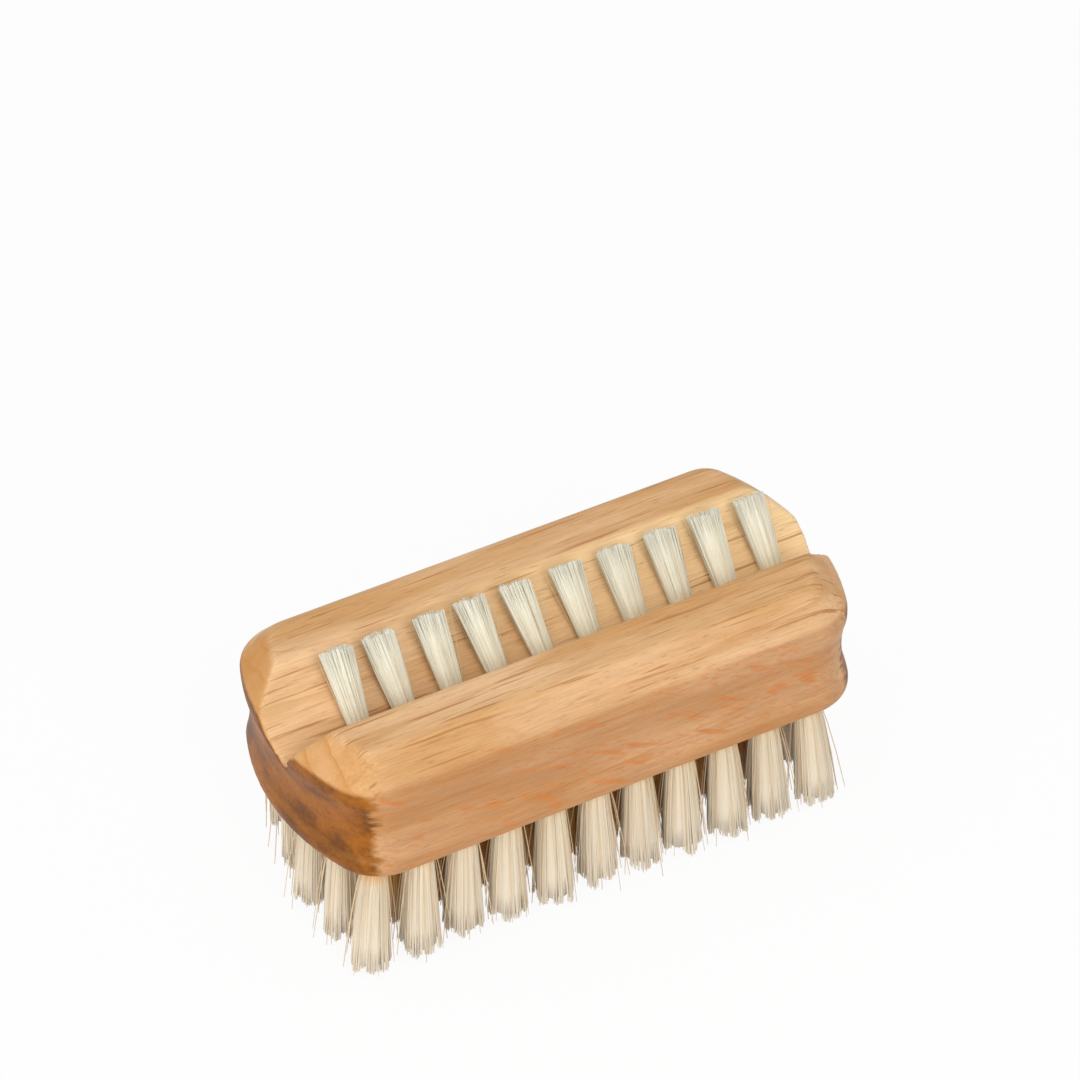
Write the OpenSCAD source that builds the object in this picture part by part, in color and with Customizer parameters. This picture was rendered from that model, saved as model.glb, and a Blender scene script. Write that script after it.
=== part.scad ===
// Double-sided wooden nail brush: a moulded beech block with five rows of
// bristle tufts underneath and one leaning row in a trough along its top.
// Millimetres. Z = 0 is the plane of the lower bristle tips, +X runs along
// the block and +Y points to the side that the top tufts lean towards.

/* [Block] */
// Length of the block over its bowed ends
block_l = 95; // [85:1:110]
// Width of the block
block_w = 44.7; // [42:0.1:50]
// Height of the block from its flat underside to the crests
block_h = 21.7; // [20:0.1:25]
// How far each end bulges beyond the line through its corners
end_bow = 5.8; // [4:0.2:8]
// Radius of the four upright corners
corner_r = 8.5; // [7.5:0.5:11]
// Radius of the lower edge
base_r = 1.2; // [0.6:0.1:1.4]

/* [Finger hollow] */
// Depth of the hollow that is moulded all round the block
grip_depth = 1; // [0.5:0.1:1.6]
// Height of the foot below the hollow
foot_h = 2.4; // [1.6:0.1:3.2]
// Height of the lip between the hollow and the shoulder
lip_h = 2.4; // [1.8:0.1:3.2]

/* [Shoulder] */
// Height of the slope between the shoulder and the crest
slope_h = 4.9; // [3.5:0.1:5.5]
// Distance that the slope leans in
slope_in = 4.9; // [3.5:0.1:5.5]
// Radius of the shoulder
shoulder_r = 2; // [1:0.1:3]
// Radius where the slope meets the crest
crest_r = 2.4; // [1:0.1:3]

/* [Trough] */
// Wood left under the trough
trough_floor = 11.4; // [11:0.1:12.5]
// Width of the trough between the crests
trough_w = 19.1; // [17:0.1:20]
// Distance of the trough's lowest line in front of the middle
trough_offset = 3; // [2:0.1:3.6]
// Radius at the bottom of the trough
trough_r = 1.4; // [0.8:0.1:2]
// Radius of the trough's upper edges
rim_r = 0.9; // [0.4:0.1:1.6]

/* [Top tufts] */
// Distance of the top row's outermost tufts from the block's ends, before the shift
top_inset = 11.2; // [9:0.1:14]
// Distance of the top row's middle from the block's middle
top_shift = 2.9; // [0:0.1:3.5]
// Height of the top holes' mouths over the trough's lowest line
top_rise = 0.8; // [0.6:0.1:1.2]
// Angle between the top tufts and the trough's back flank, in degrees
top_lift = 12.5; // [11:0.5:18]
// Free length of the top tufts
top_l = 14.4; // [12:0.2:17]
// Diameter of the holes for the top tufts
top_bore_d = 3.2; // [2.8:0.1:3.4]
// Depth of the holes for the top tufts
top_bore_depth = 5; // [4:0.1:5.2]
// Free space between neighbouring top tufts at their tips
top_gap = 2.7; // [2:0.1:4]

/* [Bottom tufts] */
// Number of tufts in each lower row
row_tufts = 11; // [7:1:11]
// Distance of the outer rows from the block's sides
side_inset = 5.55; // [5:0.05:7]
// Distance of an outer row's last tufts from the block's ends, before the shift
end_inset = 9.9; // [9:0.1:13]
// Distance of the lower rows' middle from the block's middle
row_shift = -1; // [-2:0.1:2]
// How much farther the middle row reaches at each end than the outer rows
row_bow = 1.8; // [0:0.1:2.4]
// Free length of the lower tufts
bristle_l = 20.5; // [16:0.5:26]
// Diameter of the holes for the lower tufts
bore_d = 3.6; // [3.2:0.1:4]
// Depth of the holes for the lower tufts
bore_depth = 5; // [4:0.1:5.2]
// Free space between neighbouring lower tufts at their tips
tuft_gap = 1.3; // [1:0.1:3]
// Outward lean of the outermost lower tufts, measured at their tips
tuft_flare = 1.4; // [0:0.1:1.8]
// How far all the lower tips stand to one side of their holes
tuft_drift = -1; // [-1:0.1:1]

/* [Bristles] */
// Strands in the ring round each tuft's middle strand
ring_strands = 6; // [5:1:6]
// Radius of a strand as a share of its tuft's radius
strand_share = 0.27; // [0.2:0.01:0.28]
// Distance of the strands from the edge of the tuft's root
root_edge = 0.15; // [0.1:0.05:0.3]
// Longest trimming difference between the strands of a tuft
ragged = 1.8; // [0.4:0.1:2.4]
// Height difference across the slanted tip of a strand
tip_slant = 0.5; // [0:0.1:0.5]
// Length cut off the longest lower strands to level them
level_cut = 0.5; // [0.5:0.1:1]

/* [Wire anchors] */
// Thickness of the flat wire that holds a tuft in its hole
wire_t = 0.4; // [0.3:0.05:0.5]
// Height of the flat wire
wire_h = 1.6; // [1.2:0.1:2]
// Distance that each end of the wire bites into the wood
wire_bite = 0.4; // [0.2:0.05:0.6]
// Distance of the wire from the bottom of its hole
wire_seat = 0.9; // [0.6:0.1:1.2]

/* [Fits] */
// Clearance round a tuft's root and its wire
fit_gap = 0.05; // [0.02:0.01:0.1]

/* [Hidden] */
$fn = 48;
round_steps = 6;

// The rows, and the tufts of the top row, have a node each
top_count = 10;
row_count = 5;

// The plan is a rectangle with bowed ends: the corner rounds touch the
// straight sides at corner_x and the bows at the angle meet
half_l = block_l / 2;
half_w = block_w / 2;
end_r = (half_w * half_w + end_bow * end_bow) / (2 * end_bow);
end_x = half_l - end_r;
corner_y = half_w - corner_r;
corner_x = end_x + sqrt(pow(end_r - corner_r, 2) - corner_y * corner_y);
meet = atan2(corner_y, corner_x - end_x);
corner_lap = 0.03;

// The moulded edge
shoulder_z = block_h - slope_h;
grip_h = shoulder_z - lip_h - foot_h;
grip_z = foot_h + grip_h / 2;
grip_r = (grip_h * grip_h / 4 + grip_depth * grip_depth) / (2 * grip_depth);

// The trough and the lean of the tufts in it
trough_depth = block_h - trough_floor;
crest_in = trough_w / 2;
back_flank = atan2(crest_in + trough_offset, trough_depth);
top_lean = back_flank - top_lift;
root_y = -trough_offset - top_rise * (crest_in - trough_offset) / trough_depth;
root_z = trough_floor + top_rise;
cut_past = 6.4;

// The tufts share out the block's length and width
top_pitch = (block_l - 2 * top_inset) / (top_count - 1);
row_pitch = (block_w - 2 * side_inset) / (row_count - 1);
tuft_reach = half_l - end_inset;
tuft_pitch = 2 * tuft_reach / (row_tufts - 1);
top_spread = top_pitch - top_gap;
tuft_spread = tuft_pitch - tuft_gap;

// Each strand has three sides, starts inside its root and curves outwards:
// at half_way of its length it has bend of its spread
strand_sides = 3;
root_dip = 1;
half_way = 0.45;
bend = 0.32;
turn_play = 6;
fan_play = 0.12;

// An uneven value between 0 and 1 for each whole number
function scatter(n) = let (s = sin(n * 127.1 + 31.7) * 43.758) s - floor(s);

// Unit vector from a to b
function toward(a, b) = (b - a) / norm(b - a);

// Points of a round of radius r in the corner p between its neighbours a and b
function corner_arc(a, p, b, r) =
    let (
        u = toward(p, a),
        v = toward(p, b),
        half = acos(u * v) / 2,
        mid = (u + v) / norm(u + v),
        c = p + mid * r / sin(half),
        from = p + u * r / tan(half) - c,
        to = p + v * r / tan(half) - c,
        turn = atan2(from.x * to.y - from.y * to.x, from * to),
        start = atan2(from.y, from.x)
    )
    [
        for (i = [0 : round_steps])
            let (t = start + turn * i / round_steps) c + r * [cos(t), sin(t)]
    ];

// A closed outline whose corners are rounded: each corner is [point, radius]
function rounded(corners) =
    let (n = len(corners))
    [
        for (i = [0 : n - 1])
            let (a = corners[(i + n - 1) % n], c = corners[i], b = corners[(i + 1) % n])
            each c[1] > 0 ? corner_arc(a[0], c[0], b[0], c[1]) : [c[0]]
    ];

// Half of the block's cross-section without the trough, from the middle to
// the moulded edge at the given reach
module edge(reach) {
    difference() {
        polygon(rounded([
            [[0, 0], 0],
            [[reach, 0], base_r],
            [[reach, shoulder_z], shoulder_r],
            [[reach - slope_in, block_h], crest_r],
            [[0, block_h], 0]
        ]));
        translate([reach - grip_depth + grip_r, grip_z])
            circle(grip_r, $fn = 144);
    }
}

// Everything on the inner side of one bowed end
module inside_end() {
    translate([end_x, 0, 0])
        rotate_extrude($fn = 240)
            edge(end_r);
    translate([-block_l, -block_w, 0])
        cube([block_l + end_x, 2 * block_w, block_h]);
}

// What the cutter takes off one corner. Its round stands proud of the side
// and of the bow by corner_lap, so that it crosses them at an angle.
module corner_waste() {
    far = 2 * corner_r;
    difference() {
        translate([corner_x, corner_y, 0])
            linear_extrude(block_h)
                polygon([[0, 0], far * [cos(meet), sin(meet)], [far, far], [0, far]]);
        translate([corner_x, corner_y, 0])
            rotate_extrude($fn = 96)
                edge(corner_r + corner_lap);
    }
}

// The block before the trough is cut: the edge runs along both sides, across
// the two bowed ends and round the four corners
module moulded() {
    difference() {
        intersection() {
            translate([-half_l, 0, 0])
                rotate([90, 0, 90])
                    linear_extrude(block_l)
                        for (side = [0, 1])
                            mirror([side, 0])
                                edge(half_w);
            inside_end();
            mirror([1, 0, 0])
                inside_end();
        }
        for (end = [0, 1])
            for (side = [0, 1])
                mirror([end, 0, 0])
                    mirror([0, side, 0])
                        corner_waste();
    }
}

// What the cutter takes out between the crests
module trough() {
    translate([-half_l, 0, 0])
        rotate([90, 0, 90])
            linear_extrude(block_l)
                polygon(rounded([
                    [[-trough_w, block_h], 0],
                    [[-crest_in, block_h], rim_r],
                    [[-trough_offset, trough_floor], trough_r],
                    [[crest_in, block_h], rim_r],
                    [[trough_w, block_h], 0],
                    [[trough_w, block_h + cut_past], 0],
                    [[-trough_w, block_h + cut_past], 0]
                ]));
}

// Where the tufts stand
function top_x(i) = top_shift + (i - (top_count - 1) / 2) * top_pitch;
function row_side(row) = 2 * row / (row_count - 1) - 1;
function tuft_side(i) = 2 * i / (row_tufts - 1) - 1;
function row_y(row) = row_side(row) * (half_w - side_inset);
function tuft_x(row, i) =
    row_shift + tuft_side(i) * (tuft_reach + row_bow * (1 - pow(row_side(row), 2)));

// Places its children at the mouth of a top hole, with +Z along the tuft
module at_top(i) {
    translate([top_x(i), root_y, bristle_l + root_z])
        rotate([-top_lean, 0, 0])
            children();
}

// Places its children at the mouth of a lower hole, with +Z along the tuft
module at_bottom(row, i) {
    translate([tuft_x(row, i), row_y(row), bristle_l])
        rotate([180, 0, 0])
            children();
}

// The flat wire across a hole, grown by a gap on every side
module wire(d, depth, gap) {
    translate([-d / 2 - wire_bite - gap, -wire_t / 2 - gap, wire_seat - depth - gap])
        cube([d + 2 * wire_bite + 2 * gap, wire_t + 2 * gap, wire_h + 2 * gap]);
}

// A blind hole that opens past the surface, with the slots that the ends of
// its wire press into the wood
module socket(d, depth) {
    translate([0, 0, -depth])
        cylinder(d = d, h = depth + cut_past);
    wire(d, depth, fit_gap);
}

// One strand along a path of points, with a radius at each and a slanted tip
module strand(path, radii, turn, tip_level) {
    last = len(path) - 1;
    points = [
        for (i = [0 : last])
            for (s = [0 : strand_sides - 1])
                let (
                    a = turn + 360 * s / strand_sides,
                    p = path[i] + radii[i] * [cos(a), sin(a), 0],
                    lift = i == last ? tip_slant * cos(a) : 0
                )
                [p.x, p.y, min(tip_level, p.z + lift)]
    ];
    walls = [
        for (i = [0 : last - 1])
            for (s = [0 : strand_sides - 1])
                let (
                    a = i * strand_sides + s,
                    b = i * strand_sides + (s + 1) % strand_sides,
                    d = a + strand_sides,
                    c = b + strand_sides
                )
                each [[a, d, c], [a, c, b]]
    ];
    root_end = [for (s = [0 : strand_sides - 1]) s];
    tip_end = [for (s = [strand_sides - 1 : -1 : 0]) last * strand_sides + s];
    polyhedron(points = points, faces = [root_end, each walls, tip_end], convexity = 4);
}

// A tuft: its root fills the hole up to the mouth and its strands fan out
// above it. The tips stand away from the root by lean and end at tip_level.
module tuft(d, depth, free, spread, lean, tip_level, seed) {
    root_r = d / 2 - fit_gap;
    root_strand = root_r * strand_share;
    tip_strand = spread / 2 * strand_share;
    ring = root_r - root_strand - root_edge;
    ring_tip = spread / 2 - tip_strand;
    difference() {
        union() {
            translate([0, 0, fit_gap - depth])
                cylinder(r = root_r, h = depth - fit_gap);
            for (k = [0 : ring_strands])
                let (
                    out = k == 0 ? 0 : 1,
                    a = k * 360 / ring_strands + turn_play * scatter(seed * 7 + k),
                    away = out * [cos(a), sin(a), 0],
                    cut = free + level_cut - out * ragged * pow(scatter(seed * 5 + k * 3), 2),
                    tip = away * ring_tip * (1 - fan_play * scatter(seed * 11 + k)) + lean
                )
                strand(
                    path = [
                        away * ring - [0, 0, root_dip],
                        away * ring * (1 - bend) + tip * bend + [0, 0, cut * half_way],
                        tip + [0, 0, cut]
                    ],
                    radii = [
                        root_strand,
                        root_strand * (1 - bend) + tip_strand * bend,
                        tip_strand
                    ],
                    turn = a,
                    tip_level = tip_level
                );
        }
        wire(d, depth, fit_gap);
    }
}

module block() {
    color("burlywood")
        difference() {
            translate([0, 0, bristle_l])
                difference() {
                    moulded();
                    trough();
                }
            for (i = [0 : top_count - 1])
                at_top(i)
                    socket(top_bore_d, top_bore_depth);
            for (row = [0 : row_count - 1])
                for (i = [0 : row_tufts - 1])
                    at_bottom(row, i)
                        socket(bore_d, bore_depth);
        }
}

module top_tuft(i) {
    color("ivory")
        at_top(i)
            tuft(
                top_bore_d, top_bore_depth, top_l, top_spread,
                lean = [0, 0, 0], tip_level = 2 * top_l, seed = i + 1
            );
}

module bottom_tufts(row) {
    color("ivory")
        for (i = [0 : row_tufts - 1])
            at_bottom(row, i)
                tuft(
                    bore_d, bore_depth, bristle_l, tuft_spread,
                    lean = [
                        tuft_drift + tuft_flare * tuft_side(i) * abs(tuft_side(i)),
                        -tuft_flare * row_side(row),
                        0
                    ],
                    tip_level = bristle_l,
                    seed = 20 + row * 17 + i
                );
}

module top_anchors() {
    color("silver")
        for (i = [0 : top_count - 1])
            at_top(i)
                wire(top_bore_d, top_bore_depth, 0);
}

module bottom_anchors(row) {
    color("silver")
        for (i = [0 : row_tufts - 1])
            at_bottom(row, i)
                wire(bore_d, bore_depth, 0);
}

block();
top_tuft(0);  // top_tuft_01
top_tuft(1);  // top_tuft_02
top_tuft(2);  // top_tuft_03
top_tuft(3);  // top_tuft_04
top_tuft(4);  // top_tuft_05
top_tuft(5);  // top_tuft_06
top_tuft(6);  // top_tuft_07
top_tuft(7);  // top_tuft_08
top_tuft(8);  // top_tuft_09
top_tuft(9);  // top_tuft_10
bottom_tufts(0);  // bottom_tufts_row_1
bottom_tufts(1);  // bottom_tufts_row_2
bottom_tufts(2);  // bottom_tufts_row_3
bottom_tufts(3);  // bottom_tufts_row_4
bottom_tufts(4);  // bottom_tufts_row_5
top_anchors();
bottom_anchors(0);  // bottom_anchors_row_1
bottom_anchors(1);  // bottom_anchors_row_2
bottom_anchors(2);  // bottom_anchors_row_3
bottom_anchors(3);  // bottom_anchors_row_4
bottom_anchors(4);  // bottom_anchors_row_5
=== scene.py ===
"""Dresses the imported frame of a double-sided beech nail brush.

The block is swept from its moulded edge, cut, drilled and sanded. Each tuft is
gathered from one bristle that is modelled once and copied.
"""

import logging
import math
from collections.abc import Sequence
from dataclasses import dataclass
from enum import Enum

import bpy
import numpy as np
from mathutils import Matrix, Vector


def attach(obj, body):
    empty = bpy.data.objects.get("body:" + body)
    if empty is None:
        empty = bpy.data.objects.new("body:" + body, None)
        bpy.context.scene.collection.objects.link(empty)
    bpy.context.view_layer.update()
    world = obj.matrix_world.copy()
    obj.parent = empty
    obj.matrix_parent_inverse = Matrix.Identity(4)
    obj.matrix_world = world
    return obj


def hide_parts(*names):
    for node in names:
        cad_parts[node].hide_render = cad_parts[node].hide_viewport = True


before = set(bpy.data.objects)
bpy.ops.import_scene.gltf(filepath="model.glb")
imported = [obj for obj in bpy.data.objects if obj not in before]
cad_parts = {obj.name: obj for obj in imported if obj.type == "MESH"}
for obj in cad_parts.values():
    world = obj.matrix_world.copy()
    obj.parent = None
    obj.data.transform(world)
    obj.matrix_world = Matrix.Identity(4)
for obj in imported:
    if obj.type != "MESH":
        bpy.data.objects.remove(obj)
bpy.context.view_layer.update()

LOG = logging.getLogger("nail_brush")
ROOT_BODY = "root"
GOLDEN_TURN = math.radians(137.508)

# Settings that many nodes of the finishes share
SMOOTH = {"interpolation_type": "SMOOTHSTEP"}
TIMES = {"operation": "MULTIPLY"}
LARGER = {"operation": "MAXIMUM"}
SCALED = {"operation": "SCALE"}
COLOUR = {"data_type": "RGBA"}

Finish = bpy.types.Material
Node = bpy.types.Node
Link = bpy.types.Node | bpy.types.NodeSocket
Piece = bpy.types.Object
Point = tuple[float, float]
Triple = tuple[float, float, float]
Model = tuple[np.ndarray, list[tuple[int, ...]]]


class Slot(Enum):
    """The names of the record's material slots for the wood and the bristles."""

    WOOD = "oiled_beech"
    BRISTLE = "bristle"


def mm(value: float) -> float:
    """Millimetres in metres."""
    return value * 0.001


def linear(colour: str) -> tuple[float, float, float, float]:
    """Turns an sRGB colour into the linear values that a shader takes.

    Args:
        colour: The colour as #RRGGBB.

    Returns:
        Red, green, blue and an alpha of 1.
    """
    parts = [int(colour[i : i + 2], 16) / 255 for i in (1, 3, 5)]
    red, green, blue = (
        p / 12.92 if p <= 0.04045 else ((p + 0.055) / 1.055) ** 2.4 for p in parts
    )
    return red, green, blue, 1.0


class Graph:
    """The nodes of one finish, or of the world."""

    def __init__(self, owner: Finish | bpy.types.World) -> None:
        """Starts with no nodes.

        Args:
            owner: What the nodes belong to.
        """
        owner.use_nodes = True
        self.tree = owner.node_tree
        self.tree.nodes.clear()

    def add(
        self,
        kind: str,
        inputs: dict[str, object] | Sequence[object] = (),
        stops: Sequence[tuple[float, str]] = (),
        **settings: object,
    ) -> Node:
        """Adds a node with its settings and links.

        Args:
            kind: The node's type.
            inputs: What goes into it, by name or in the order of the inputs in use:
                a value, a colour as #RRGGBB, or a node or socket to link.
            stops: The places and colours of a colour ramp.
            **settings: The node's own properties.

        Returns:
            The new node.
        """
        node = self.tree.nodes.new(f"ShaderNode{kind}")
        for name, value in settings.items():
            setattr(node, name, value)
        if stops:
            elements = node.color_ramp.elements
            while len(elements) < len(stops):
                elements.new(1.0)
            for element, (place, colour) in zip(elements, stops):
                element.position = place
                element.color = linear(colour)
        if isinstance(inputs, dict):
            pairs = [(node.inputs[name], value) for name, value in inputs.items()]
        else:
            pairs = zip([s for s in node.inputs if s.enabled], inputs)
        for socket, value in pairs:
            if isinstance(value, Node):
                value = next(s for s in value.outputs if s.enabled)
            if isinstance(value, bpy.types.NodeSocket):
                self.tree.links.new(value, socket)
            elif isinstance(value, str):
                socket.default_value = linear(value)
            else:
                socket.default_value = value
        return node

    def shade(self, inputs: dict[str, object]) -> None:
        """Ends a finish in its one shader.

        Args:
            inputs: What goes into the shader, by name.
        """
        surface = self.add("BsdfPrincipled", inputs)
        self.add("OutputMaterial", {"Surface": surface})


class Grain(Graph):
    """The nodes of a wood, with the place in millimetres and the grain along X.

    They keep the colour that the marks so far have given.
    """

    def __init__(self, owner: Finish) -> None:
        """Starts with the place and the normal.

        Args:
            owner: The wood.
        """
        super().__init__(owner)
        ways = self.add("TexCoord").outputs
        self.in_mm = self.add(
            "Mapping", {"Vector": ways["Object"], "Scale": (1000, 1000, 1000)}
        )
        self.place = self.add("SeparateXYZ", (self.in_mm,)).outputs
        self.normal = self.add("SeparateXYZ", (ways["Normal"],)).outputs
        self.colour: Node | None = None

    def clouds(
        self,
        per_mm: Triple,
        detail: float = 2.0,
        rough: float = 0.5,
        place: Link | None = None,
    ) -> Node:
        """Draws clouds out along the grain.

        Args:
            per_mm: The number of clouds in a millimetre along X, Y and Z.
            detail: Their finer layers.
            rough: How strong those are.
            place: A turned or moved place that they follow.

        Returns:
            The clouds.
        """
        where = self.in_mm if place is None else place
        drawn = self.add("Mapping", {"Vector": where, "Scale": per_mm})
        return self.add(
            "TexNoise",
            {"Vector": drawn, "Scale": 1.0, "Detail": detail, "Roughness": rough},
        )


@dataclass(frozen=True)
class OiledBeech:
    """Steamed beech, moulded, sanded and oiled: satin, with rays along the grain."""

    pale: str = "#E9BF92"
    tan: str = "#D5A36C"
    ring: str = "#CB935B"
    ray: str = "#A8692F"
    ray_face: str = "#CC7F42"
    side_tint_and_shade: str = "#E2D4CA"
    streak: str = "#BF9068"
    pore: str = "#A4602C"
    # The end grain colours: the brown of oil-soaked end grain, darkened further with
    # painted shade
    end_pale_shaded: str = "#A05E15"
    end_dark_shaded: str = "#6B3D0C"
    end_tint: str = "#C8893F"
    trough_pale_and_lit: str = "#FFDCA8"
    roughness: float = 0.44
    pith_mm: Triple = (0.0, 7.0, -30.0)
    ring_mm: float = 2.6
    sway_mm: float = 7.0
    front_rim_mm: Point = (-8.0, -5.0)
    back_rim_mm: Point = (8.5, 10.5)
    trough_light_ramp_mm: Point = (-36.0, 36.0)
    back_ramp_mm: Point = (2.0, 14.0)
    right_less_shade: float = 0.22

    def material(self) -> Finish:
        """Builds the wood in the order in which the eye finds its marks.

        The rings give soft bands, the rays long thin dashes on top and slanting
        orange patches on the sides, and the pores fine short lines. The sides are
        darkened with painted shade, and the trough is paler, partly as cut and
        partly with painted light. The end grain has drunk more oil and is brown,
        with a ragged edge, and is darkened further with painted shade, more on the
        -X end than on the +X end.

        Returns:
            The finished material.
        """
        material = bpy.data.materials.new("Beech_steamed_oiled")
        grain = Grain(material)
        end, slope = self.end_share(grain)
        self.rings(grain, slope)
        self.milled_and_lit(grain)
        self.rays(grain, slope)
        fibre = self.pores(grain)
        across = grain.place[1]
        # The ends' slopes take the end tint, more of it towards the back
        toward_back = grain.add("MapRange", (across, *self.back_ramp_mm, 0.5, 0.78), **SMOOTH)
        tint = grain.add("Math", (slope, toward_back), **TIMES)
        grain.colour = grain.add("Mix", (tint, grain.colour, self.end_tint), **COLOUR)
        self.end_grain_and_shade(grain, end)
        bump = grain.add(
            "Bump", {"Strength": 0.4, "Distance": mm(0.05), "Height": fibre}
        )
        glossy, matt = self.roughness - 0.05, self.roughness + 0.07
        satin = grain.add("MapRange", (fibre, 0.3, 0.7, glossy, matt), **SMOOTH)
        grain.shade(
            {
                "Base Color": grain.colour,
                "Roughness": satin,
                "Normal": bump,
                "IOR": 1.47,
                "Specular IOR Level": 0.2,
            }
        )
        return material

    def rings(self, grain: Grain, slope: Link) -> None:
        """Growth rings round a pith below the block, faint and soft.

        Args:
            grain: The wood's nodes.
            slope: How far the surface turns to the ends, where the rings show.
        """
        sway = grain.clouds((0.016, 0.06, 0.06), 3.0).outputs["Color"]
        reach = (0.0, self.sway_mm, self.sway_mm)
        swayed = grain.add("VectorMath", (sway, reach), **TIMES)
        moved = grain.add("VectorMath", (grain.in_mm, swayed), operation="ADD")
        x, y, z = self.pith_mm
        pith = grain.add(
            "Mapping",
            {"Vector": moved, "Location": (-x, -y, -z), "Scale": (0.0, 1.0, 1.0)},
        )
        out = grain.add("VectorMath", (pith,), operation="LENGTH")
        count = grain.add("Math", (out, self.ring_mm), operation="DIVIDE")
        year = grain.add("Math", (count,), operation="FRACT")
        late = grain.add("Math", (year, 5.0), operation="POWER")
        soft = grain.clouds((0.03, 0.16, 0.16), 3.0)
        soft = grain.add("MapRange", (soft, 0.34, 0.66), **SMOOTH)
        early = grain.add("Mix", (soft, self.pale, self.tan), **COLOUR)
        weight = grain.clouds((0.05, 0.3, 0.3))
        weight = grain.add("MapRange", (weight, 0.3, 0.8), **SMOOTH)
        shown = grain.add("Math", (weight, slope), **LARGER)
        share = grain.add("Math", (late, shown), **TIMES)
        grain.colour = grain.add("Mix", (share, early, self.ring), **COLOUR)

    def milled_and_lit(self, grain: Grain) -> None:
        """The trough, paler than the sanded outside: partly as the cutter left it,
        partly painted light that lifts the shade in it, more so towards +X.

        Args:
            grain: The wood's nodes.
        """
        along, across, _ = grain.place
        front = grain.add("MapRange", (across, *self.front_rim_mm), **SMOOTH)
        back = grain.add("MapRange", (across, *self.back_rim_mm, 1.0, 0.0), **SMOOTH)
        # Paler towards +X: painted light that makes up for the light falling off along
        # the trough
        share = grain.add("MapRange", (along, *self.trough_light_ramp_mm, 0.15, 0.95), **SMOOTH)
        share = grain.add("Math", (share, front), **TIMES)
        share = grain.add("Math", (share, back), **TIMES)
        paler = (share, grain.colour, self.trough_pale_and_lit)
        grain.colour = grain.add("Mix", paler, **COLOUR)

    def rays(self, grain: Grain, slope: Link) -> None:
        """The rays: upright sheets, so dashes from above and patches from the side.

        Args:
            grain: The wood's nodes.
            slope: How far the surface turns to the ends, where there are none.
        """
        facing = grain.add("Math", (grain.normal[1],), operation="ABSOLUTE")
        side = grain.add("MapRange", (facing, 0.6, 0.95), **SMOOTH)
        top = grain.add("MapRange", (facing, 0.75, 0.95, 1.0, 0.12), **SMOOTH)
        level = grain.add("MapRange", (slope, 0.3, 0.9, 1.0, 0.15), **SMOOTH)
        top = grain.add("Math", (top, level), **TIMES)
        # The sides facing ±Y are multiplied by a pinkish tint: partly their own
        # flat-sawn tone, partly painted shade that keeps them darker than the top
        tinted_and_shaded = (side, grain.colour, self.side_tint_and_shade)
        grain.colour = grain.add("Mix", tinted_and_shaded, blend_type="MULTIPLY", **COLOUR)
        # Dashes 12 to 20 mm long on top, then on the sides streaks of 33 mm and
        # slanting patches of 6, 2.5 and 1.3 mm. Real rays are about 0.1 mm thick,
        # so they are drawn 0.4 to 0.7 mm thick to show.
        for per_mm, turn, low, high, cover, where, tone in (
            ((0.05, 1.5, 0.4), 0.0, 0.61, 0.68, 0.62, top, self.ray),
            ((0.08, 2.3, 0.6), 3.0, 0.64, 0.71, 0.55, top, self.ray),
            ((0.03, 0.6, 0.9), 0.0, 0.4, 0.68, 0.55, side, self.streak),
            ((0.16, 0.6, 0.75), -22.0, 0.57, 0.7, 0.75, side, self.ray_face),
            ((0.4, 1.8, 1.8), -30.0, 0.58, 0.72, 0.5, side, self.ray_face),
            ((0.75, 2.8, 2.8), -6.0, 0.55, 0.7, 0.4, side, self.ray_face),
        ):
            # Each layer starts at a place of its own, so that no two fall together
            start = (per_mm[1] * 31, per_mm[2] * 17, per_mm[0] * 90)
            slant = (0.0, math.radians(turn), 0.0)
            turned = grain.add("Mapping", (grain.in_mm, start, slant))
            sheet = grain.clouds(per_mm, 1.5, 0.4, turned)
            some = grain.clouds((0.045, 0.12, 0.12), 1.0, place=turned)
            sheet = grain.add("MapRange", (sheet, low, high, 0.0, cover), **SMOOTH)
            some = grain.add("MapRange", (some, 0.36, 0.56), **SMOOTH)
            share = grain.add("Math", (sheet, some), **TIMES)
            share = grain.add("Math", (share, where), **TIMES)
            grain.colour = grain.add("Mix", (share, grain.colour, tone), **COLOUR)

    def pores(self, grain: Grain) -> Node:
        """The fine fibres, and the pores between them.

        Args:
            grain: The wood's nodes.

        Returns:
            The height of the fibres.
        """
        # Real pores are under 0.1 mm wide, so they are drawn 0.24 mm wide to show
        pore = grain.clouds((0.42, 4.2, 4.2), 1.0)
        pore = grain.add("MapRange", (pore, 0.62, 0.76, 0.0, 0.36), **SMOOTH)
        dotted = grain.add("Mix", (pore, grain.colour, self.pore), **COLOUR)
        fibre = grain.clouds((0.16, 3.4, 3.4), 5.0, 0.62)
        tone = grain.add("MapRange", (fibre, 0.27, 0.73, 0.89, 1.08), **SMOOTH)
        grain.colour = grain.add("VectorMath", (dotted, tone), **SCALED)
        return fibre

    def end_share(self, grain: Grain) -> tuple[Node, Node]:
        """How far the fibres are cut across, with a ragged edge.

        Args:
            grain: The wood's nodes.

        Returns:
            A value from 0 to 1 for the upright ends, and one for their slopes.
        """
        along, _, up = grain.normal
        ragged = grain.clouds((0.14, 0.6, 1.0), 3.0)
        shift = grain.add("MapRange", (ragged, 0.28, 0.72, -0.08, 0.08), **SMOOTH)
        left = grain.add("Math", (along, -1.0), **TIMES)
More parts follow.
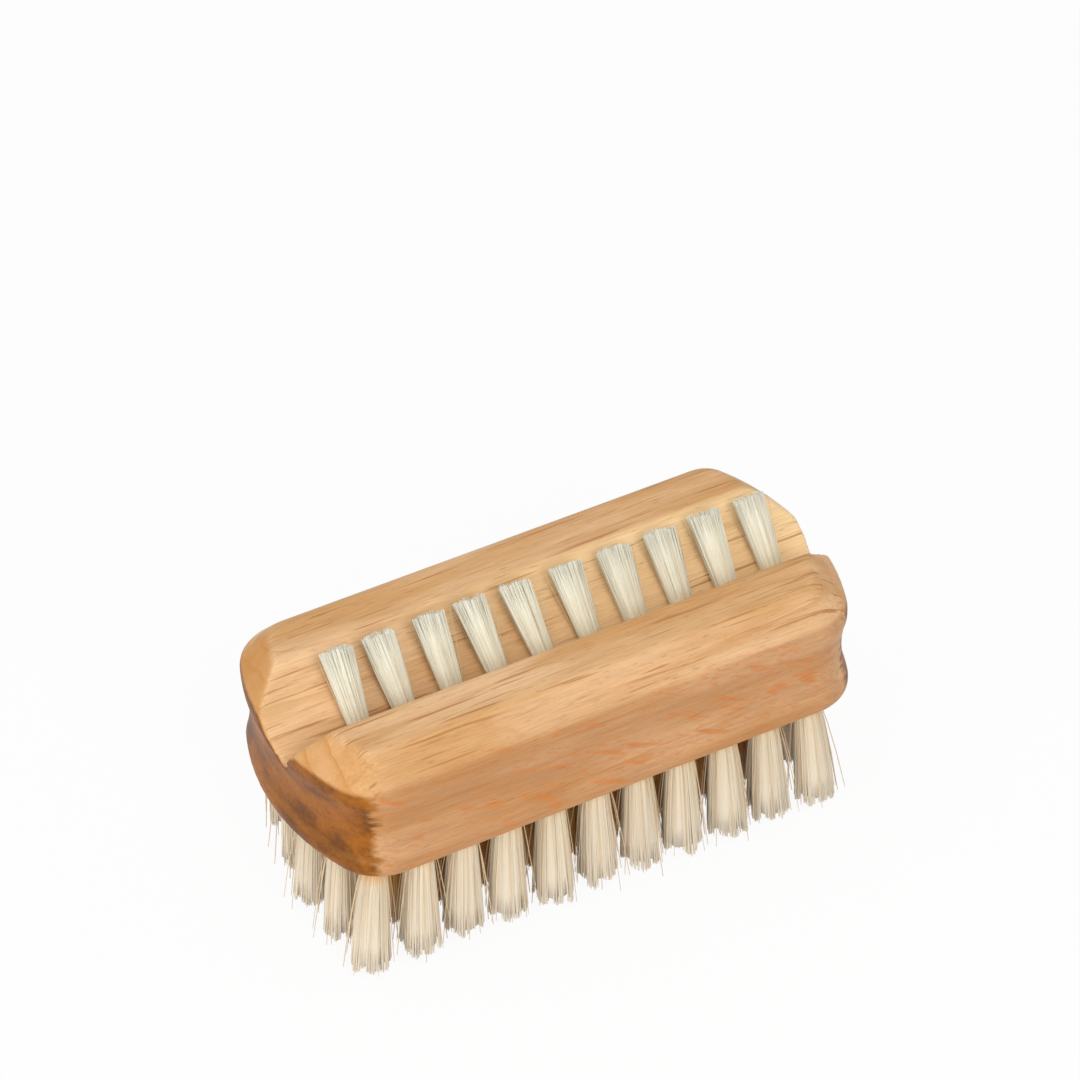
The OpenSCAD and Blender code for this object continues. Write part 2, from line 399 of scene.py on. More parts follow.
        # The +X end takes less of it: painted shade keeps the -X end darker than the +X
        # end
        right = grain.add("Math", (along, self.right_less_shade), operation="SUBTRACT")
        outward = grain.add("Math", (left, right), **LARGER)
        turned = grain.add("Math", (outward, shift), operation="ADD")
        cut = grain.add("MapRange", (turned, 0.35, 0.6), **SMOOTH)
        upright = grain.add("MapRange", (up, 0.2, 0.58, 1.0, 0.0), **SMOOTH)
        slope = grain.add("MapRange", (turned, 0.3, 0.7), **SMOOTH)
        return grain.add("Math", (cut, upright), **TIMES), slope

    def end_grain_and_shade(self, grain: Grain, share: Link) -> None:
        """The brown end grain, cloudy and dotted with pores, and darkened further with
        painted shade.

        Args:
            grain: The wood's nodes.
            share: How far the fibres are cut across.
        """
        cloud = grain.clouds((0.3, 0.1, 0.24), 5.0, 0.6)
        cloud = grain.add("MapRange", (cloud, 0.32, 0.66), **SMOOTH)
        brown = grain.add("Mix", (cloud, self.end_dark_shaded, self.end_pale_shaded), **COLOUR)
        # The cut pores are drawn in groups of 0.6 mm, which is as fine as they show
        dots = grain.clouds((1.6, 1.6, 1.6), 3.0, 0.6)
        tone = grain.add("MapRange", (dots, 0.3, 0.7, 0.88, 1.1), **SMOOTH)
        dotted = grain.add("VectorMath", (brown, tone), **SCALED)
        grain.colour = grain.add("Mix", (share, grain.colour, dotted), **COLOUR)


@dataclass(frozen=True)
class NaturalBristle:
    """Washed hog bristle, cut: off-white and soft, each one of its own tone."""

    name: str = "Hog_bristle_washed"
    # The root and mouth colours are painted amber shade
    root: str = "#DC9836"
    mouth: str = "#F0B252"
    shaft: str = "#F7F1D7"
    tip: str = "#FCF8E7"
    roughness: float = 0.5

    def material(self) -> Finish:
        """Builds the bristle from the tuft's own "along" and "tone" attributes.

        Near the root the ramp paints amber shade, in place of the shade and the light
        that has gone through many bristles.

        Returns:
            The finished material.
        """
        material = bpy.data.materials.new(self.name)
        graph = Graph(material)
        along = graph.add("Attribute", attribute_name="along").outputs["Fac"]
        tone = graph.add("Attribute", attribute_name="tone").outputs["Fac"]
        stops = ((0, self.root), (0.14, self.mouth), (0.27, self.shaft), (1, self.tip))
        ramp = graph.add("ValToRGB", (along,), stops)
        own = graph.add("MapRange", {"Value": tone, "To Min": 0.785, "To Max": 0.955})
        toned = graph.add("VectorMath", (ramp, own), **SCALED)
        graph.shade({"Base Color": toned, "Roughness": self.roughness, "IOR": 1.5})
        return material


@dataclass(frozen=True)
class DrawnSteel:
    """Galvanised flat wire, drawn: grey, with fine lines along it."""

    colour: str = "#A9ABAD"
    roughness: float = 0.38

    def material(self) -> Finish:
        """Builds the wire with drawing lines 0.1 mm apart and 2.5 mm long.

        Returns:
            The finished material.
        """
        material = bpy.data.materials.new("Steel_flat_wire_drawn")
        graph = Graph(material)
        place = graph.add("TexCoord").outputs["Object"]
        lines = graph.add("Mapping", {"Vector": place, "Scale": (400, 10000, 10000)})
        noise = graph.add("TexNoise", {"Vector": lines, "Scale": 1.0})
        bump = graph.add(
            "Bump", {"Strength": 0.2, "Distance": mm(0.02), "Height": noise}
        )
        graph.shade(
            {
                "Base Color": self.colour,
                "Metallic": 1.0,
                "Roughness": self.roughness,
                "Normal": bump,
            }
        )
        return material


class Bench:
    """The operators that the pieces are made with."""

    @staticmethod
    def clear() -> None:
        """Leaves edit mode and deselects everything."""
        if bpy.context.object and bpy.context.object.mode != "OBJECT":
            bpy.ops.object.mode_set(mode="OBJECT")
        bpy.ops.object.select_all(action="DESELECT")

    @staticmethod
    def start(name: str, point: Vector) -> Piece:
        """Merges a small plane to one vertex and stays in edit mode.

        Args:
            name: The new object's name.
            point: Where the vertex goes.

        Returns:
            The new object.
        """
        Bench.clear()
        bpy.ops.mesh.primitive_plane_add(size=mm(1))
        piece = bpy.context.object
        piece.name = name
        bpy.ops.object.mode_set(mode="EDIT")
        bpy.ops.mesh.merge(type="CENTER")
        bpy.ops.transform.translate(value=point)
        return piece

    @staticmethod
    def draw(points: Sequence[Vector]) -> None:
        """Draws a chain of edges from the selected vertex, which is the first point.

        Args:
            points: The places that the chain goes through.
        """
        for here, there in zip(points, points[1:]):
            bpy.ops.mesh.extrude_vertices_move(
                TRANSFORM_OT_translate={"value": there - here}
            )

    @staticmethod
    def push(step: Vector) -> None:
        """Extrudes what is selected.

        Args:
            step: How far it goes.
        """
        bpy.ops.mesh.extrude_region_move(TRANSFORM_OT_translate={"value": step})

    @staticmethod
    def close() -> None:
        """Merges doubles, fills the open ends and turns the faces outwards."""
        bpy.ops.mesh.select_all(action="SELECT")
        bpy.ops.mesh.remove_doubles(threshold=mm(0.02))
        bpy.ops.mesh.fill_holes(sides=0)
        bpy.ops.mesh.select_all(action="SELECT")
        bpy.ops.mesh.normals_make_consistent(inside=False)
        bpy.ops.object.mode_set(mode="OBJECT")

    @staticmethod
    def apply(piece: Piece, kind: str, **settings: object) -> None:
        """Adds a modifier to a piece and applies it.

        Args:
            piece: The piece.
            kind: The modifier's type name.
            **settings: The modifier's own properties.
        """
        Bench.clear()
        piece.select_set(True)
        bpy.context.view_layer.objects.active = piece
        modifier = piece.modifiers.new(kind.title(), kind)
        for name, value in settings.items():
            setattr(modifier, name, value)
        bpy.ops.object.modifier_apply(modifier=modifier.name)

    @staticmethod
    def cut(piece: Piece, cutter: Piece) -> None:
        """Takes a cutter's shape out of a piece, and the cutter away.

        Args:
            piece: The piece.
            cutter: The shape that comes out of it.
        """
        Bench.apply(
            piece, "BOOLEAN", operation="DIFFERENCE", object=cutter, solver="EXACT"
        )
        bpy.data.objects.remove(cutter)


def finish_piece(piece: Piece, material: Finish, node: str) -> None:
    """Gives a piece its material and ties it to the frame.

    Args:
        piece: The finished piece.
        material: What it is made of.
        node: The CAD node that it replaces.
    """
    piece.data.materials.clear()
    piece.data.materials.append(material)
    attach(piece, ROOT_BODY)
    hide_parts(node)
    LOG.info("%s: %d faces", piece.name, len(piece.data.polygons))


@dataclass
class Block:
    """The wooden block, in millimetres over its own underside."""

    length: float = 95.0
    width: float = 44.7
    height: float = 21.7
    end_bow: float = 5.8
    corner_r: float = 8.5
    base_r: float = 1.2
    grip_depth: float = 1.0
    foot_h: float = 2.4
    lip_h: float = 2.4
    slope_h: float = 4.9
    slope_in: float = 4.9
    shoulder_r: float = 2.0
    crest_r: float = 2.4
    trough_floor: float = 11.4
    trough_w: float = 19.1
    trough_offset: float = 3.0
    trough_r: float = 1.4
    cutter_lift: float = 6.0
    cutter_past: float = 2.0
    underside: float = 20.5
    margin: float = 7.6
    arc_steps: int = 6
    grip_steps: int = 12
    corner_steps: int = 16
    end_steps: int = 24
    voxel: float = 0.5
    sanding: int = 5

    @property
    def half_w(self) -> float:
        """Half of the width."""
        return self.width / 2

    @property
    def end_r(self) -> float:
        """Radius of each bowed end."""
        return (self.half_w**2 + self.end_bow**2) / (2 * self.end_bow)

    @property
    def end_x(self) -> float:
        """Distance of an end's centre from the middle."""
        return self.length / 2 - self.end_r

    @property
    def corner(self) -> Point:
        """Centre of the round of the corner at +X +Y."""
        y = self.half_w - self.corner_r
        return self.end_x + math.sqrt((self.end_r - self.corner_r) ** 2 - y * y), y

    @property
    def trough_depth(self) -> float:
        """Depth of the trough below the crests."""
        return self.height - self.trough_floor

    def edge(self) -> list[Point]:
        """The moulded edge from the underside to the crest.

        Returns:
            Points of the distance in from the outline and the height.
        """
        shoulder = self.height - self.slope_h
        points = [(self.margin, 0.0)]
        points += self.arc((self.base_r, 0), (0, 0), (0, self.foot_h), self.base_r)
        low, high = self.foot_h, shoulder - self.lip_h
        middle, reach = (low + high) / 2, (high - low) / 2
        radius = (reach**2 + self.grip_depth**2) / (2 * self.grip_depth)
        for i in range(self.grip_steps + 1):
            z = low + (high - low) * i / self.grip_steps
            across = math.sqrt(radius**2 - (z - middle) ** 2)
            points.append((self.grip_depth - radius + across, z))
        crest, end = (self.slope_in, self.height), (self.margin, self.height)
        points += self.arc((0, 0), (0, shoulder), crest, self.shoulder_r)
        points += self.arc((0, shoulder), crest, end, self.crest_r)
        return [*points, end]

    def arc(self, before: Point, at: Point, after: Point, radius: float) -> list[Point]:
        """Rounds the corner of a chain.

        Args:
            before: The point that the chain comes from.
            at: The corner.
            after: The point that the chain goes to.
            radius: The round's radius.

        Returns:
            Points along the round.
        """
        corner = Vector(at)
        back = (Vector(before) - corner).normalized()
        on = (Vector(after) - corner).normalized()
        half = back.angle(on) / 2
        centre = corner + (back + on).normalized() * radius / math.sin(half)
        start = corner + back * radius / math.tan(half) - centre
        end = corner + on * radius / math.tan(half) - centre
        turn = start.angle_signed(end) * -1
        return [
            tuple(centre + Matrix.Rotation(turn * i / self.arc_steps, 2) @ start)
            for i in range(self.arc_steps + 1)
        ]

    def at(self, x: float, y: float, z: float) -> Vector:
        """A place over the underside, in metres in the frame."""
        return Vector((mm(x), mm(y), mm(self.underside + z)))

    def turn(self, x: float, y: float, degrees: float, steps: int) -> None:
        """Spins the selected edge round an upright axis.

        Args:
            x: The axis' place along the block.
            y: The axis' place across it.
            degrees: How far it turns, seen from above.
            steps: The number of its faces.
        """
        bpy.ops.mesh.spin(
            steps=steps,
            angle=-math.radians(degrees),
            center=(mm(x), mm(y), 0),
            axis=(0, 0, 1),
        )

    def sweep(self) -> Piece:
        """Takes the moulded edge once round the block and closes it.

        Returns:
            The block before it is cut.
        """
        x, y = self.corner
        meet = math.degrees(math.atan2(y, x - self.end_x))
        chain = [self.at(-x, inset - self.half_w, z) for inset, z in self.edge()]
        piece = Bench.start("block_wood", chain[0])
        Bench.draw(chain)
        bpy.ops.mesh.select_all(action="SELECT")
        for way in (1, -1):
            Bench.push(Vector((way * mm(2 * x), 0, 0)))
            self.turn(way * x, -way * y, 90 - meet, self.corner_steps)
            self.turn(way * self.end_x, 0, 2 * meet, self.end_steps)
            self.turn(way * x, way * y, 90 - meet, self.corner_steps)
        Bench.close()
        return piece

    def trough_cutter(self) -> Piece:
        """Makes the shape that the trough takes out between the crests.

        Returns:
            The cutter.
        """
        rim, low = self.trough_w / 2, (-self.trough_offset, self.trough_floor)
        wider = self.cutter_lift / self.trough_depth
        top = self.height + self.cutter_lift
        outline = [
            (-rim - wider * (rim - self.trough_offset), top),
            *self.arc((-rim, self.height), low, (rim, self.height), self.trough_r),
            (rim + wider * (rim + self.trough_offset), top),
        ]
        start = -self.length / 2 - self.cutter_past
        chain = [self.at(start, y, z) for y, z in outline]
        cutter = Bench.start("trough_cutter", chain[0])
        Bench.draw(chain)
        bpy.ops.mesh.select_all(action="SELECT")
        bpy.ops.mesh.edge_face_add()
        Bench.push(Vector((mm(self.length + 2 * self.cutter_past), 0, 0)))
        Bench.close()
        return cutter

    def build(self, drill: Piece, material: Finish) -> None:
        """Sweeps, cuts, drills and sands the block.

        Args:
            drill: The shape of all the holes.
            material: The wood.
        """
        piece = self.sweep()
        Bench.cut(piece, self.trough_cutter())
        Bench.cut(piece, drill)
        Bench.apply(
            piece,
            "REMESH",
            mode="VOXEL",
            voxel_size=mm(self.voxel),
            use_smooth_shade=True,
        )
        Bench.apply(piece, "SMOOTH", factor=0.5, iterations=self.sanding)
        finish_piece(piece, material, "block")


@dataclass
class Rod:
    """A rod of unit length and radius, modelled once for all the tufts."""

    sides: int
    rings: tuple[float, ...]
    tip: float

    def model(self) -> Model:
        """Cuts the rod into rings, opens its root and narrows its tip.

        Returns:
            The vertices, and the corners of each face.
        """
        Bench.clear()
        bpy.ops.mesh.primitive_cylinder_add(
            vertices=self.sides, radius=1, depth=1, location=(0, 0, 0.5)
        )
        rod = bpy.context.object
        bpy.ops.object.transform_apply(location=True)
        bpy.ops.object.mode_set(mode="EDIT")
        for height in self.rings:
            bpy.ops.mesh.select_all(action="SELECT")
            bpy.ops.mesh.bisect(plane_co=(0, 0, height), plane_no=(0, 0, 1))
        self.pick(rod, 1.0)
        bpy.ops.transform.resize(value=(self.tip, self.tip, 1))
        self.pick(rod, 0.0)
        bpy.ops.mesh.delete(type="ONLY_FACE")
        bpy.ops.object.mode_set(mode="OBJECT")
        points = np.array([v.co for v in rod.data.vertices])
        faces = [tuple(p.vertices) for p in rod.data.polygons]
        bpy.data.objects.remove(rod)
        return points, faces

    @staticmethod
    def pick(rod: Piece, height: float) -> None:
        """Selects the face at one height.

        Args:
            rod: The rod, in edit mode.
            height: The height of the face.
        """
        bpy.ops.mesh.select_all(action="DESELECT")
        bpy.ops.object.mode_set(mode="OBJECT")
        for face in rod.data.polygons:
            face.select = all(
                abs(rod.data.vertices[v].co.z - height) < 0.01 for v in face.vertices
            )
        bpy.ops.object.mode_set(mode="EDIT")


@dataclass
class Tuft:
    """A bunch of bristles in its hole, in millimetres, with +Z out of the hole.

    A real bristle is under 0.2 mm thick, so they are drawn fewer and thicker. The
    rind is the share of them that stand outside, the heart is how far out the rest
    reach, and own_way is how far each one looks round in place of the tuft. Chance
    strews their tips (strewn), lengths (uneven), bends (bow) and girths, and tones
    holds the two exponents of the beta law that their tones follow.
    """

    mouth: Vector
    turn: Matrix
    root_r: float
    tip_r: float
    free: float
    lean: Point
    seed: int
    count: int = 250
    thickness: float = 0.26
    ragged: float = 1.45
    spread_law: float = 0.65
    teeth: int = 11
    pull: float = 0.27
    loose: int = 14
    loose_reach: float = 1.7
    loose_width: float = 0.7
    loose_amber_shade: float = 0.235
    loose_shade: float = 0.5
    loose_short: float = 2.6
    limit: float | None = None
    sunk: float = 2.5
    rind: float = 0.66
    heart: float = 0.84
    core_share: float = 0.9
    core_short: float = 1.6
    core_up: float = 1.2
    core_tone: float = 0.6
    own_way: float = 0.6
    tip_up: float = 0.0
    # How far up the tuft the painted amber shade of the roots reaches
    amber: float = 1.0
    strewn: float = 0.12
    uneven: float = 0.26
    bow: float = 0.07
    girths: Point = (0.8, 1.15)
    tones: Point = (2.4, 1.6)

    def fan(self, along: np.ndarray) -> np.ndarray:
        """How far the bristles have fanned out, which they do only past the mouth.

        Args:
            along: The share of the length, from the root to the tip.

        Returns:
            A value from 0 in the hole to 1 at the tip.
        """
        mouth = self.sunk / (self.free + self.sunk)
        return np.clip((along - mouth) / (1 - mouth), 0, 1) ** self.spread_law

    def paling(self, along: np.ndarray) -> np.ndarray:
        """How far the painted amber shade of the roots has faded.

        Args:
            along: The share of the length, from the root to the tip.

        Returns:
            A value from 0 to 1, less the deeper the tuft stands.
        """
        return along / self.amber

    def stand(self, across: np.ndarray, rise: np.ndarray) -> np.ndarray:
        """Stands the tuft in its hole.

        Args:
            across: Places across the tuft.
            rise: Heights over the mouth.

        Returns:
            Places in the frame, in metres.
        """
        local = np.concatenate([across, rise[..., None]], -1)
        return (local @ np.array(self.turn).T + np.array(self.mouth)) * 0.001

    def core(self, rod: np.ndarray) -> tuple[np.ndarray, np.ndarray]:
        """Shapes the bristles that are packed out of sight as one grooved core.

        Args:
            rod: The vertices of the rod for cores.

        Returns:
            The vertices in metres, and the way that each one faces.
        """
        x, y, along = rod.T
        fan = self.fan(along)
        turn = np.arctan2(y, x)
        radius = self.core_share * (self.root_r + (self.tip_r - self.root_r) * fan)
        radius *= (1 + 0.04 * np.sin(turn * 9 + self.seed)) * np.hypot(x, y)
        way = np.stack([np.cos(turn), np.sin(turn)], 1)
        across = way * radius[:, None] + np.array(self.lean) * fan[:, None]
        length = self.free - self.core_short * self.ragged
        rise = -self.sunk + (length + self.sunk) * along
        up = np.where(along > 0.99, self.core_up, 0.0)[:, None]
        facing = np.concatenate([way, up], 1)
        return self.stand(across, rise), facing @ np.array(self.turn).T

    def strands(
        self, rod: np.ndarray
    ) -> tuple[np.ndarray, np.ndarray, np.ndarray, np.ndarray]:
        """Bends copies of the bristle from the hole out to the tuft's tip.

        The bristles lean together in a few points, as cut ones do when they have
        been wet, and those in the middle of a point are the longest.

        Args:
            rod: The vertices of the bristle that was modelled.

        Returns:
            The vertices in metres, how far along it, which tone and which way each
            one has.
        """
        rng = np.random.default_rng(self.seed)
        # Where each one stands in the hole, where it ends and how long it is
        number = np.arange(self.count)
        rind = int(self.count * self.rind)
        inner = self.heart * np.sqrt(
            (number - rind + 0.5).clip(0) / (self.count - rind)
        )
        out = np.where(number < rind, 1.0 - 0.1 * rng.random(self.count), inner)
        angle = number * GOLDEN_TURN + rng.normal(0, 0.05, self.count)
        way = np.stack([np.cos(angle), np.sin(angle)], 1)
        root = way * (out * self.root_r)[:, None]
        tip = way * (out * self.tip_r)[:, None]
        tip += rng.normal(0, self.strewn, (self.count, 2))
        tip, short = self.points(rng, tip)
        uneven = np.abs(rng.normal(0, self.uneven, self.count)) * self.ragged
        cut = self.free - short - uneven
        loose = number[: self.loose]
        reach = 0.25 + self.loose_reach * rng.random(self.loose) ** 1.5
        tip[loose] = way[loose] * (self.tip_r + reach)[:, None]
        shorter = rng.uniform(0, self.loose_short, self.loose) * self.ragged
        cut[loose] = self.free - shorter
        tip += np.array(self.lean)
        if self.limit is not None:
            cut = np.minimum(cut, self.limit - rng.uniform(0, 0.1, self.count))
        # How it bends from one to the other, and its own round wall
        x, y, along = rod.T
        bow = rng.normal(0, self.bow, (self.count, 2))
        rise = -self.sunk + (cut + self.sunk)[:, None] * along[None]
        across = root[:, None] + (tip - root)[:, None] * self.fan(along)[None, :, None]
        across += bow[:, None] * (np.sin(np.pi * along)[None, :, None])
        radius = self.thickness / 2 * rng.uniform(*self.girths, self.count)
        radius[loose] *= self.loose_width
        spin = rng.uniform(0, math.tau, self.count)
        cos, sin = np.cos(spin)[:, None], np.sin(spin)[:, None]
        wall = np.stack([x * cos - y * sin, x * sin + y * cos], -1)
        across += radius[:, None, None] * wall
        # Its tone, and the way it faces the light
        tone = rng.beta(*self.tones, self.count)
        # The loose bristles are painted darker and golden, as shade
        tone[loose] *= self.loose_shade
        shade = np.repeat(tone[:, None], len(along), 1)
        ahead = np.repeat(self.paling(along)[None], self.count, 0)
        ahead[loose] = np.minimum(ahead[loose], self.loose_amber_shade)
        whole = (1 - self.own_way) * (1 - along**4)[None, :, None]
        facing = self.own_way * wall + whole * (way * out[:, None])[:, None]
        up = np.broadcast_to(self.tip_up * along**6, facing.shape[:2])[..., None]
        facing = np.concatenate([facing, up], -1) @ np.array(self.turn).T
        return self.stand(across, rise), ahead, shade, facing

    def points(
        self, rng: np.random.Generator, tip: np.ndarray
    ) -> tuple[np.ndarray, np.ndarray]:
        """Draws the tips together in points.

        Args:
            rng: The tuft's own random numbers.
            tip: The places of the tips across the tuft.

        Returns:
            The new places, and how much shorter each bristle is.
        """
        spot = np.arange(self.teeth)
        turn = spot * GOLDEN_TURN + rng.uniform(0, math.tau)
        out = np.sqrt((spot + 0.5) / self.teeth) * self.tip_r
        middle = np.stack([np.cos(turn) * out, np.sin(turn) * out], 1)
        middle += rng.normal(0, 0.25, middle.shape)
        gap = np.linalg.norm(tip[:, None] - middle[None], axis=2)
        own = gap.argmin(1)
        off = gap.min(1)
        drawn = tip + (middle[own] - tip) * self.pull
        short = np.abs(rng.normal(0, 0.5, self.teeth))[own] + off * 0.5
        return drawn, short * self.ragged


@dataclass
class Bristles:
    """All the tufts: where their holes are, in millimetres, and how they stand."""

    block: Block
    top_count: int = 10
    top_inset: float = 11.2
    top_shift: float = 2.9
    top_rise: float = 0.8
    top_lift: float = 12.5
    top_free: float = 14.4
    top_bore_d: float = 3.2
    top_bore_depth: float = 5.0
    top_spread: float = 5.4
    top_drift: tuple[float, ...] = (0.2, -0.5, 0, -0.9, -1.1, -0.4, 0, 0.1, 0, 0)
    row_count: int = 5
    row_tufts: int = 11
    side_inset: float = 5.55
    end_inset: float = 9.9
    row_shift: float = -1.0
    row_bow: float = 1.8
    free: float = 20.5
    bore_d: float = 3.6
    bore_depth: float = 5.0
    spread: float = 6.8
    flare: float = 1.4
    drift: float = -1.0
    sway: float = 0.3
    row_pull: tuple[float, ...] = (-0.3, 1.0, 0.6, 2.2, 3.8)
    root_play: float = 0.12
    tip_play: float = 0.1
    top_over: float = 0.3
    cut_under: float = 0.2
    # How strong the painted amber shade of the inner rows is
    amber: float = 6.5

    @property
    def top_lean(self) -> float:
        """Lean of the top tufts from upright, in radians."""
        rim = self.block.trough_w / 2 + self.block.trough_offset
        return math.atan2(rim, self.block.trough_depth) - math.radians(self.top_lift)

    def top_tufts(self) -> list[Tuft]:
        """The leaning row in the trough.

        Returns:
            One tuft for each hole.
        """
        block = self.block
        pitch = (block.length - 2 * self.top_inset) / (self.top_count - 1)
        slope = (block.trough_w / 2 - block.trough_offset) / block.trough_depth
        y = -block.trough_offset - self.top_rise * slope
        z = block.underside + block.trough_floor + self.top_rise
        turn = Matrix.Rotation(-self.top_lean, 3, "X")
        return [
            Tuft(
                mouth=Vector(
                    (self.top_shift + (i - (self.top_count - 1) / 2) * pitch, y, z)
                ),
                turn=turn,
                root_r=self.top_bore_d / 2 - self.root_play,
                tip_r=self.top_spread / 2 - self.tip_play,
                free=self.top_free + self.top_over,
                lean=(self.top_drift[i], 0.0),
                seed=101 + i,
                count=220,
                thickness=0.24,
                ragged=0.6,
                spread_law=0.9,
                pull=0.12,
                loose=4,
                loose_reach=1.0,
                tip_up=0.12,
            )
            for i in range(self.top_count)
        ]

    def row(self, number: int) -> list[Tuft]:
        """One lower row.

        Args:
            number: The row, from 0 at the front.

        Returns:
            One tuft for each hole.
        """
        block = self.block
        side = 2 * number / (self.row_count - 1) - 1
        y = side * (block.half_w - self.side_inset)
        reach = block.length / 2 - self.end_inset + self.row_bow * (1 - side * side)
        # The inner rows and the middle of each row take the most painted amber shade
        shaded = self.amber * min(1, 2 - 2 * abs(side))
        turn = Matrix.Rotation(math.pi, 3, "X")
        rng = np.random.default_rng(900 + number)
        tufts = []
        for i in range(self.row_tufts):
            end = 2 * i / (self.row_tufts - 1) - 1
            sway = rng.normal(0, self.sway, 2)
            tufts.append(
                Tuft(
                    mouth=Vector((self.row_shift + end * reach, y, block.underside)),
                    turn=turn,
                    root_r=self.bore_d / 2 - self.root_play,
                    tip_r=self.spread / 2 - self.tip_play,
                    free=self.free - self.cut_under,
                    lean=(
                        self.drift
                        + self.flare * end * abs(end)
                        + self.row_pull[number] * ((1 - end) / 2) ** 3
                        + sway[0],
                        -self.flare * side + sway[1],
                    ),
                    seed=400 + number * 20 + i,
                    amber=1 + shaded * (1 - abs(end) ** 3),
                    limit=self.free,
                )
            )
        return tufts

    def drill(self) -> Piece:
        """Makes the shape of all the holes in one mesh.

        Returns:
            The cutter.
        """
        Bench.clear()
        holes = [(t, self.top_bore_d, self.top_bore_depth) for t in self.top_tufts()]
        for number in range(self.row_count):
            holes += [(t, self.bore_d, self.bore_depth) for t in self.row(number)]
        past = 4.0
        cutter = None
        for tuft, width, depth in holes:
            axis = tuft.turn @ Vector((0, 0, 1))
            middle = tuft.mouth + axis * (past - depth) / 2
            bpy.ops.mesh.primitive_cylinder_add(
                vertices=24,
                radius=mm(width / 2),
                depth=mm(depth + past),
                location=middle * 0.001,
                rotation=tuft.turn.to_euler(),
            )
            if cutter is None:
                cutter = bpy.context.object
                cutter.name = "drill"
                bpy.ops.object.transform_apply(location=True, rotation=True)
                bpy.ops.object.mode_set(mode="EDIT")
        bpy.ops.object.mode_set(mode="OBJECT")
        return cutter

    @staticmethod
    def gather(
        node: str, tufts: Sequence[Tuft], rods: Sequence[Model], material: Finish
    ) -> None:
        """Gathers the bristles of one or more tufts into a piece.

        Args:
            node: The CAD node that the piece replaces.
            tufts: The tufts.
            rods: The bristle and the core that were modelled once.
            material: The bristle's material.
        """
        (bristle, bristle_faces), (core, core_faces) = rods
        places, ahead, tone, facing, corners = [], [], [], [], []
        total = 0
        for tuft in tufts:
            made, along, shade, way = tuft.strands(bristle)
            packed, packed_way = tuft.core(core)
            places += [made.reshape(-1, 3), packed]
            ahead += [along.ravel(), tuft.paling(core[:, 2])]
            tone += [shade.ravel(), np.full(len(core), tuft.core_tone)]
            facing += [way.reshape(-1, 3), packed_way]
            for faces, size, copies in (
                (bristle_faces, len(bristle), tuft.count),
                (core_faces, len(core), 1),
            ):
                for _ in range(copies):
                    corners += [tuple(v + total for v in face) for face in faces]
                    total += size
        name = f"{node}_bristles"
        mesh = bpy.data.meshes.new(name)
        mesh.from_pydata(np.concatenate(places).tolist(), [], corners)
        for label, values in (("along", ahead), ("tone", tone)):
            attribute = mesh.attributes.new(label, "FLOAT", "POINT")
            attribute.data.foreach_set(
                "value", np.concatenate(values).astype(np.float32)
            )
        mesh.polygons.foreach_set("use_smooth", [True] * len(mesh.polygons))
        mesh.update()
        mesh.normals_split_custom_set_from_vertices(np.concatenate(facing).tolist())
        piece = bpy.data.objects.new(name, mesh)
        bpy.context.scene.collection.objects.link(piece)
        finish_piece(piece, material, node)

    def build(self, top: Finish, lower: Finish) -> None:
        """Builds a piece for each top tuft and one for each lower row.

        Args:
            top: What the top tufts are made of.
            lower: What the lower tufts are made of.
        """
        rods = (
            Rod(sides=4, rings=(0.11, 0.19, 0.36, 0.65), tip=0.62).model(),
            Rod(sides=54, rings=(0.11, 0.17, 0.25, 0.4, 0.6, 0.8), tip=0.9).model(),
        )
        for i, tuft in enumerate(self.top_tufts(), 1):
            self.gather(f"top_tuft_{i:02d}", [tuft], rods, top)
        for i in range(self.row_count):
            self.gather(f"bottom_tufts_row_{i + 1}", self.row(i), rods, lower)


def dress_anchors(rows: int, material: Finish) -> None:
    """Gives the flat wires in the holes their steel. They keep their CAD solids.

    Args:
        rows: The number of lower rows.
        material: The wire's material.
    """
    names = ["top_anchors"] + [f"bottom_anchors_row_{n + 1}" for n in range(rows)]
    for name in names:
        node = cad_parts[name]
        node.data.materials.clear()
        node.data.materials.append(material)
        LOG.info("%s: dressed", name)


